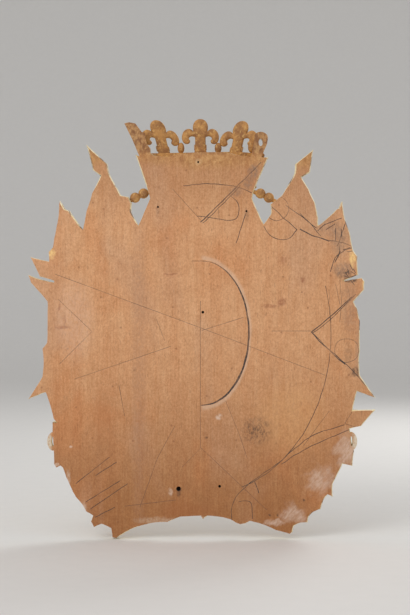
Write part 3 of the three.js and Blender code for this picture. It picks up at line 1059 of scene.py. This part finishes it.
class Finish:
    """Builds the shader of one material. Places are metres in the upright frame."""

    def __init__(self, name):
        self.material = bpy.data.materials.new(name)
        self.material.use_nodes = True
        self.tree = self.material.node_tree
        self.shader = self.tree.nodes["Principled BSDF"]
        self.place = self.add("ShaderNodeTexCoord").outputs["Object"]

    def add(self, kind, inputs=(), **settings):
        made = self.tree.nodes.new(kind)
        for name, value in settings.items():
            setattr(made, name, value)
        for key, value in dict(inputs).items():
            self.feed(made.inputs[key], value)
        return made

    def feed(self, socket, value):
        if isinstance(value, bpy.types.NodeSocket):
            self.tree.links.new(value, socket)
        else:
            socket.default_value = value

    def maths(self, operation, a, b, clamp=False):
        inputs = {0: a, 1: b}
        return self.add("ShaderNodeMath", inputs, operation=operation, use_clamp=clamp).outputs[0]

    def vector(self, operation, a, b):
        made = self.add("ShaderNodeVectorMath", {0: a, 1: b}, operation=operation)
        return made.outputs["Value" if operation == "DISTANCE" else "Vector"]

    def stretched(self, scale):
        """The place, stretched so that a texture with a scale of 1 has cells of 1/scale."""
        return self.vector("MULTIPLY", self.place, scale)

    def noise(self, scale, detail, roughness, warp=0.0, shift=0.0):
        place = self.stretched(scale)
        if shift:
            place = self.vector("ADD", place, (shift, shift, shift))
        inputs = {"Vector": place, "Scale": 1.0, "Detail": detail, "Roughness": roughness,
                  "Distortion": warp}
        return self.add("ShaderNodeTexNoise", inputs).outputs[0]

    def span(self, value, low, high, start=0.0, end=1.0):
        """A value carried smoothly from one span to another, and held at its ends."""
        inputs = {"Value": value, "From Min": low, "From Max": high, "To Min": start, "To Max": end}
        return self.add("ShaderNodeMapRange", inputs, interpolation_type="SMOOTHSTEP").outputs[0]

    def mix(self, factor, a, b, blend_type="MIX"):
        made = self.add("ShaderNodeMix", data_type="RGBA", blend_type=blend_type)
        for socket, value in ((made.inputs[0], factor), (made.inputs[6], a), (made.inputs[7], b)):
            self.feed(socket, value)
        return made.outputs[2]

    def axis(self, vector, axis):
        """One part of a vector: 0, 1 or 2 for X, Y or Z."""
        return self.add("ShaderNodeSeparateXYZ", {0: vector}).outputs[axis]

    def bump(self, height, distance, strength, under=None):
        inputs = {"Height": height, "Distance": distance, "Strength": strength}
        if under:
            inputs["Normal"] = under
        return self.add("ShaderNodeBump", inputs).outputs[0]

    def surface(self, colour, roughness, bump, metallic=0.0):
        self.feed(self.shader.inputs["Base Color"], colour)
        self.feed(self.shader.inputs["Roughness"], roughness)
        self.feed(self.shader.inputs["Metallic"], metallic)
        self.feed(self.shader.inputs["Normal"], bump)
        return self.material


def drawing_place(made):
    """The place on the back in millimetres right and up, as seen from behind."""
    right = made.maths("MULTIPLY", made.axis(made.place, 0), -1000.0)
    up = made.maths("MULTIPLY", made.axis(made.place, 2), 1000.0)
    return made.add("ShaderNodeCombineXYZ", {0: right, 1: up}).outputs[0]


def oval_distance(made, place, centre, half):
    """Roughly how far the place is outside the edge of an oval, less than 0 inside it."""
    offset = made.vector("SUBTRACT", place, (*centre, 0))
    offset = made.vector("DIVIDE", offset, (*half, 1))
    reach = made.vector("DISTANCE", offset, (0, 0, 0))
    return made.maths("MULTIPLY", made.maths("SUBTRACT", reach, 1.0), min(half))


def ragged(made, place, scale, detail, reach):
    """The place, moved about by a noise by up to half the reach each way."""
    wander = made.add("ShaderNodeTexNoise", {"Vector": place, "Scale": scale, "Detail": detail})
    shift = made.vector("SUBTRACT", wander.outputs["Color"], (0.5, 0.5, 0.5))
    return made.vector("ADD", place, made.vector("MULTIPLY", shift, (reach, reach, 0)))


def oval_spot(made, place, centre, half, soft):
    """1 inside an oval spot with a soft edge, and 0 outside."""
    offset = made.vector("DIVIDE", made.vector("SUBTRACT", place, (*centre, 0)), (*half, 1))
    return made.span(made.vector("DISTANCE", offset, (0, 0, 0)), 1 + soft / 2, 1 - soft / 2)


def painted_highlight_band(made, place):
    """Painted highlight: a pale band along the outer side of the dark half oval, standing for light
    caught by the edge of a groove.
    """
    off = oval_distance(made, ragged(made, place, 0.03, 1.0, 6), *BRUSH_ARC[:2])
    right_half = made.span(made.axis(place, 0), -3, 3)
    pale = made.maths("MULTIPLY", made.span(off, 8, 3, 0, 0.45), made.span(off, 0, 1))
    return made.maths("MULTIPLY", pale, right_half)


def chalk_traces(made, place):
    """Traces of chalk ground: scraped patches low on the right, and scattered flecks."""
    patches = [
        ((271, -226), (16, 27)), ((227, -282), (20, 25)), ((174, -349), (22, 16)),
        ((138, -363), (17, 5)),
    ]
    torn = ragged(made, place, 0.045, 4.0, 52)
    chalk = None
    for centre, half in patches:
        patch = oval_spot(made, torn, centre, half, 1.3)
        chalk = made.maths("MAXIMUM", chalk, patch) if chalk else patch
    tilt = {"Vector": made.place, "Rotation": (0, math.radians(40), 0)}
    slanting = made.add("ShaderNodeVectorRotate", tilt, rotation_type="EULER_XYZ").outputs[0]
    streaky = made.vector("MULTIPLY", slanting, (240, 240, 70))
    inputs = {"Vector": streaky, "Scale": 1.0, "Detail": 4.0, "Roughness": 0.7}
    scrape = made.add("ShaderNodeTexNoise", inputs).outputs[0]
    chalk = made.maths("MULTIPLY", chalk, made.span(scrape, 0.34, 0.66, 0.25, 0.66))
    flecks = made.noise((90, 90, 80), 4, 0.6, 0.5, 9.0)
    return made.maths("MAXIMUM", chalk, made.span(flecks, 0.75, 0.8, 0, 0.35))


def specks(made, place):
    """Small round specks, about a hand's breadth apart."""
    apart = 95
    radius = 1.9
    cells = made.add("ShaderNodeTexVoronoi", {"Vector": place, "Scale": 1 / apart},
                     voronoi_dimensions="2D")
    return made.span(cells.outputs["Distance"], 1.4 * radius / apart, 0.6 * radius / apart)


def stained(made, place, tone):
    """Stains, knots, brown scribbles and bits of gilding, as (centre, half size, colour, share)."""
    ink = srgb(66, 48, 40)
    pin = srgb(84, 56, 42)
    rust = srgb(150, 84, 54)
    gold = srgb(250, 207, 136)
    smudge = srgb(124, 104, 92)
    scraped = srgb(206, 176, 148)
    burnt = srgb(162, 98, 52)
    cord = srgb(220, 204, 178)
    chalk = srgb(228, 202, 180)
    stains = [
        ((-190, -160), (17, 32), srgb(188, 122, 72), 0.45), ((154, 136), (10, 8), rust, 0.3),
        ((-120, -60), (13, 330), srgb(176, 134, 106), 0.3), ((-88, 180), (9, 60), rust, 0.06),
        ((168, -165), (60, 60), srgb(232, 176, 116), 0.35),
        ((-243, 22), (34, 70), srgb(222, 180, 152), 0.4),
        ((152, 56), (8, 6), rust, 0.7),
        ((128, 48), (15, 3), rust, 0.5), ((192, 98), (4, 4), rust, 0.6),
        ((-272, 46), (2, 9), rust, 0.5), ((-264, 8), (14, 3), rust, 0.5),
        ((-262, 22), (3, 12), rust, 0.4), ((-60, 109), (11, 2), rust, 0.6),
        ((292, -77), (9, 8), ink, 0.7), ((282, 98), (11, 4), ink, 0.9),
        ((270, 108), (14, 9), ink, 0.4), ((278, -45), (8, 22), ink, 0.25),
        ((8, -201), (2.5, 2.5), pin, 0.8), ((143, -348), (2.5, 2.5), pin, 0.8),
        ((128, -348), (2.5, 2.5), pin, 0.8), ((194, -320), (3, 3), pin, 0.8),
        ((-44, -305), (4, 9), pin, 0.6), ((-84, 231), (3, 12), pin, 0.3),
        ((85, 221), (4, 11), pin, 0.4), ((-7, 322), (6, 6), srgb(214, 176, 130), 0.7),
        ((-286, 147), (6, 9), gold, 0.9), ((286, 138), (5, 14), gold, 1.0),
        ((308, 92), (4, 14), gold, 0.9), ((-291, -209), (6, 20), cord, 1.0),
        ((292, -209), (6, 20), cord, 1.0), ((98, 304), (9, 12), smudge, 0.6),
        ((88, 282), (9, 12), smudge, 0.5), ((64, 266), (12, 9), smudge, 0.4),
        ((-83, -359), (38, 6), scraped, 0.6), ((-28, -340), (46, 14), burnt, 0.5),
        ((262, 175), (16, 26), smudge, 0.4), ((238, 198), (20, 14), smudge, 0.3),
        ((280, 46), (15, 50), smudge, 0.3), ((300, -40), (8, 46), smudge, 0.3),
        ((268, 118), (18, 12), smudge, 0.5), ((32, -162), (6, 5), chalk, 0.7),
        ((-60, -305), (4, 6), chalk, 0.6), ((-250, -219), (3, 3), chalk, 0.7),
        ((-10, -354), (16, 3), chalk, 0.5), ((-254, -278), (4, 14), chalk, 0.5),
        ((-224, -340), (5, 14), chalk, 0.5), ((-277, -253), (5, 3), chalk, 0.6),
    ]
    blot = made.span(made.noise((200, 200, 150), 3, 0.6), 0.32, 0.6, 0.25, 1)
    uneven = ragged(made, place, 0.09, 2.0, 9)
    for centre, half, colour, share in stains:
        mask = made.maths("MULTIPLY", oval_spot(made, uneven, centre, half, 1.0), blot)
        tone = made.mix(made.maths("MULTIPLY", mask, share), tone, colour)
    scatter = made.span(made.noise((150, 150, 100), 5, 0.8), 0.46, 0.6, 0.12, 0.75)
    blotch = oval_spot(made, uneven, (103, -188), (24, 22), 1.3)
    blotch = made.maths("MULTIPLY", blotch, scatter)
    return made.mix(blotch, tone, ink)


def shaded(made, tone, share, pale, dark):
    """A tone, times a pale shade where the share is 0 and a dark one where it is 1."""
    return made.mix(1.0, tone, made.mix(share, pale, dark), "MULTIPLY")


def wood_tone(made, place):
    """The colour of planed bare wood with upright grain, with painted shade that darkens it towards
    the bottom, and what its bump is made from.
    """
    height = made.axis(place, 1)
    # Painted shade: the wood is painted darker towards the bottom, where less light falls.
    tone = made.mix(made.span(height, -390, 20), srgb(175, 121, 72), srgb(225, 173, 128))
    tone = made.mix(made.span(height, 190, 300), tone, srgb(205, 154, 110))
    cloud = made.noise((7, 7, 5), 3, 0.55, 0.6, 5.0)
    tone = made.mix(made.span(cloud, 0.5, 0.72, 0, 0.5), tone, srgb(214, 146, 92))
    haze = made.noise((8, 8, 4), 3, 0.55, 0.6, 11.0)
    tone = made.mix(made.span(haze, 0.5, 0.7, 0, 0.35), tone, srgb(204, 164, 134))
    crown_edge = made.maths("ADD", height, made.maths("MULTIPLY", cloud, 60.0))
    varnish = made.noise((120, 120, 90), 4, 0.65, 0.5, 6.0)
    varnished = made.mix(made.span(varnish, 0.4, 0.62), srgb(182, 130, 74), srgb(212, 166, 106))
    tone = made.mix(made.span(crown_edge, 328, 355, 0, 0.7), tone, varnished)
    worn = made.mix(made.span(varnish, 0.38, 0.6), srgb(140, 98, 62), srgb(196, 154, 104))
    tone = made.mix(made.span(height, 334, 346, 0, 0.85), tone, worn)

    plain = (1, 1, 1, 1)
    bands = made.noise((30, 30, 1.8), 4, 0.6, 0.5)
    tone = shaded(made, tone, made.span(bands, 0.3, 0.7), plain, srgb(247, 238, 230))
    streaks = made.noise((330, 330, 14), 5, 0.75, 0.3)
    tone = shaded(made, tone, made.span(streaks, 0.38, 0.66), plain, srgb(246, 239, 232))
    patches = made.noise((60, 60, 45), 3, 0.6, 0.4, 13.0)
    tone = shaded(made, tone, made.span(patches, 0.38, 0.62), (1.03, 1.04, 1.05, 1),
                  (0.96, 0.95, 0.93, 1))
    mottle = made.noise((260, 260, 220), 5, 0.8, 0.6, 8.0)
    tone = shaded(made, tone, made.span(mottle, 0.38, 0.62), (1.06, 1.08, 1.1, 1),
                  (0.88, 0.81, 0.73, 1))
    dashes = made.noise((430, 430, 75), 2, 0.5, 0.2, 3.0)
    tone = made.mix(made.span(dashes, 0.6, 0.7, 0, 0.35), tone, srgb(140, 92, 60))
    return tone, streaks


def back_wood():
    """The bare back, with its pores, stains, chalk and the traces of the plane, painted shade towards
    the bottom, and a painted highlight beside the dark half oval.
    """
    made = Finish("planed back wood")
    place = drawing_place(made)
    tone, streaks = wood_tone(made, place)
    pores = made.noise((1500, 1500, 130), 2, 0.5)
    pore_depth = made.span(pores, 0.62, 0.72)
    tone = made.mix(made.maths("MULTIPLY", pore_depth, 0.4), tone, srgb(128, 84, 56))
    tone = made.mix(made.maths("MULTIPLY", specks(made, place), 0.45), tone, srgb(134, 78, 48))
    tone = made.mix(chalk_traces(made, place), tone, srgb(226, 198, 178))
    tone = stained(made, place, tone)
    # Painted highlight: a pale band along the outer side of the dark half oval.
    tone = made.mix(painted_highlight_band(made, place), tone, srgb(228, 196, 168))

    grain = made.bump(streaks, 0.00025, 0.4)
    plane_marks = made.noise((5, 5, 60), 2, 0.4, 0.3, 2.0)
    grain = made.bump(plane_marks, 0.0006, 0.3, grain)
    grain = made.bump(made.maths("MULTIPLY", pore_depth, -1.0), 0.0003, 0.6, grain)
    roughness = made.span(streaks, 0.3, 0.7, 0.62, 0.78)
    return made.surface(tone, roughness, grain)


def pencilled_wood(name, graphite, share):
    """Bare wood under pencil, which skips over the grain and presses now harder, now lighter."""
    made = Finish(name)
    tone, streaks = wood_tone(made, drawing_place(made))
    skips = made.noise((600, 600, 150), 3, 0.6)
    press = made.noise((22, 22, 22), 2, 0.5, 0.0, 4.0)
    dark = made.maths("MULTIPLY", made.span(skips, 0.3, 0.5, 0.55, 1), share)
    dark = made.maths("MULTIPLY", dark, made.span(press, 0.3, 0.6, 0.6, 1))
    tone = made.mix(dark, tone, graphite)
    return made.surface(tone, 0.6, made.bump(streaks, 0.00025, 0.4))


def edge_paint():
    """The sawn edge: chalk ground and worn gilding, rubbed through to brown wood."""
    made = Finish("painted sawn edge")
    wear = made.noise((30, 30, 26), 5, 0.65, 0.6)
    fine = made.noise((260, 260, 200), 3, 0.6)
    chalk = made.mix(made.span(fine, 0.35, 0.65), srgb(250, 240, 206), srgb(236, 214, 160))
    wood = made.mix(made.span(fine, 0.3, 0.7), srgb(150, 106, 68), srgb(110, 76, 50))
    tone = made.mix(made.span(wear, 0.53, 0.64), chalk, wood)
    return made.surface(tone, 0.7, made.bump(fine, 0.0005, 0.5))


def gilding():
    """Old gold leaf rubbed through to brown-red clay on the front, and the yellow-brown
    underside of the gilding wherever a surface faces backwards."""
    made = Finish("worn gilding")
    normal = made.add("ShaderNodeNewGeometry").outputs["Normal"]
    behind = made.span(made.axis(normal, 1), 0.0, 0.35)
    rubbed = made.noise((40, 40, 40), 6, 0.7, 0.5)
    cracks = made.noise((380, 380, 380), 4, 0.7)
    worn = made.span(made.maths("ADD", rubbed, made.maths("MULTIPLY", cracks, 0.35)), 0.76, 0.86)
    leaf = made.mix(made.span(cracks, 0.3, 0.7), srgb(214, 170, 88), srgb(180, 134, 62))
    clay = made.mix(made.span(cracks, 0.3, 0.7), srgb(128, 66, 44), srgb(92, 50, 36))
    front = made.mix(worn, leaf, clay)
    dust = made.noise((60, 60, 60), 4, 0.65, 0.4, 7.0)
    back = made.mix(made.span(dust, 0.35, 0.65), srgb(196, 142, 80), srgb(150, 102, 58))
    flakes = made.noise((170, 170, 170), 4, 0.65, 0.4, 5.0)
    back = made.mix(made.span(flakes, 0.54, 0.64, 0, 0.6), back, srgb(224, 180, 110))
    back = made.mix(made.span(flakes, 0.42, 0.34, 0, 0.3), back, srgb(96, 60, 34))
    tone = made.mix(behind, front, back)
    metal = made.maths("MULTIPLY", made.maths("SUBTRACT", 1.0, worn),
                     made.maths("SUBTRACT", 0.75, behind), clamp=True)
    roughness = made.mix(worn, (0.36, 0.36, 0.36, 1), (0.72, 0.72, 0.72, 1))
    roughness = made.mix(behind, roughness, (0.75, 0.75, 0.75, 1))
    bump = made.bump(rubbed, 0.0012, 0.35)
    return made.surface(tone, roughness, made.bump(cracks, 0.0004, 0.4, bump), metal)


def old_paint(name, light, dark, under):
    """Old paint with fine cracks, thinned to the layer under it."""
    made = Finish(name)
    rubbed = made.noise((30, 30, 30), 6, 0.7, 0.5, 3.0)
    fine = made.noise((320, 320, 320), 4, 0.65)
    tone = made.mix(made.span(rubbed, 0.3, 0.65), light, dark)
    tone = made.mix(made.span(rubbed, 0.62, 0.68), tone, under)
    cells = made.add("ShaderNodeTexVoronoi", {"Vector": made.stretched((150, 150, 150)),
                                              "Scale": 1.0}, feature="DISTANCE_TO_EDGE")
    crack = made.span(cells.outputs["Distance"], 0.05, 0.01)
    tone = made.mix(made.maths("MULTIPLY", crack, 0.4), tone, under)
    bump = made.bump(made.maths("MULTIPLY", crack, -1.0), 0.0003, 0.4)
    return made.surface(tone, made.span(fine, 0.3, 0.7, 0.5, 0.68), made.bump(fine, 0.0004, 0.4, bump))


def hole_wood():
    """The dark wood inside the bored holes."""
    made = Finish("dark bored wood")
    fine = made.noise((500, 500, 500), 3, 0.6)
    tone = made.mix(fine, srgb(58, 40, 30), srgb(34, 24, 20))
    return made.surface(tone, 0.9, made.bump(fine, 0.0004, 0.5))


def floor_finish():
    """The plain pale floor and backdrop."""
    made = Finish("pale floor")
    fine = made.noise((30, 30, 30), 3, 0.5)
    tone = made.mix(fine, srgb(226, 224, 220), srgb(222, 220, 216))
    return made.surface(tone, 0.9, made.bump(fine, 0.0005, 0.1))


# Room, light and camera

def room(lowest):
    """A plain pale floor that curves up into a backdrop far behind the carving, and soft light."""
    clearance = 0.002
    half = 30
    bend_start = 6.0
    bend = 4.0
    steps = 16
    profile = [(half, 0)]
    for step in range(steps + 1):
        turn = math.pi / 2 * step / steps
        profile.append((-bend_start - bend * math.sin(turn), bend - bend * math.cos(turn)))
    profile.append((-bend_start - bend, half))
    corners = []
    for y, rise in profile:
        corners += [(-half, y, lowest - clearance + rise), (half, y, lowest - clearance + rise)]
    faces = [(2 * i, 2 * i + 1, 2 * i + 3, 2 * i + 2) for i in range(len(profile) - 1)]
    floor_mesh = bpy.data.meshes.new("floor")
    floor_mesh.from_pydata(corners, [], faces)
    floor_mesh.materials.append(floor_finish())
    floor_mesh.shade_smooth()
    floor = placed("floor", floor_mesh)
    world = bpy.data.worlds.new("studio")
    world.use_nodes = True
    sky = world.node_tree.nodes["Background"]
    sky.inputs["Color"].default_value = srgb(236, 236, 238)
    sky.inputs["Strength"].default_value = 0.75
    bpy.context.scene.world = world
    soft_light("window behind", (1.6, 2.6, 1.9), 1.8, 42)
    soft_light("window in front", (-1.7, -2.4, 1.7), 1.5, 38)


def soft_light(name, place, size, power):
    """A square light that shines at the middle of the carving."""
    lamp = bpy.data.lights.new(name, "AREA")
    lamp.size = size
    lamp.energy = power
    made = placed(name, lamp)
    made.location = place
    made.rotation_euler = (-Vector(place)).to_track_quat("-Z", "Y").to_euler()


def camera_behind():
    """The camera stands squarely behind the carving and sees all of the back."""
    side = -0.0057
    level = 0.0456
    distance = 2.6
    seen_height = 1.1685
    lens_data = bpy.data.cameras.new("camera")
    lens_data.sensor_width = 36
    lens_data.lens = lens_data.sensor_width * distance / seen_height
    made = placed("camera", lens_data)
    made.location = (side, distance, level)
    made.rotation_euler = (math.pi / 2, 0, math.pi)
    bpy.context.scene.camera = made


MATERIALS = [
    back_wood(),
    edge_paint(),
    gilding(),
    old_paint("old white paint", srgb(232, 226, 208), srgb(212, 202, 178), srgb(150, 108, 74)),
    old_paint("old red paint", srgb(140, 40, 34), srgb(112, 32, 30), srgb(84, 48, 38)),
    hole_wood(),
    pencilled_wood("faint pencil on wood", srgb(104, 74, 58), 0.85),
    pencilled_wood("dark pencil on wood", srgb(62, 52, 48), 1.0),
]

panel = carved_panel()
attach(panel, "root")
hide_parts("carved_panel")

room(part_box("carved_panel")[0].z)
camera_behind()
bpy.context.scene.view_settings.view_transform = "Standard"
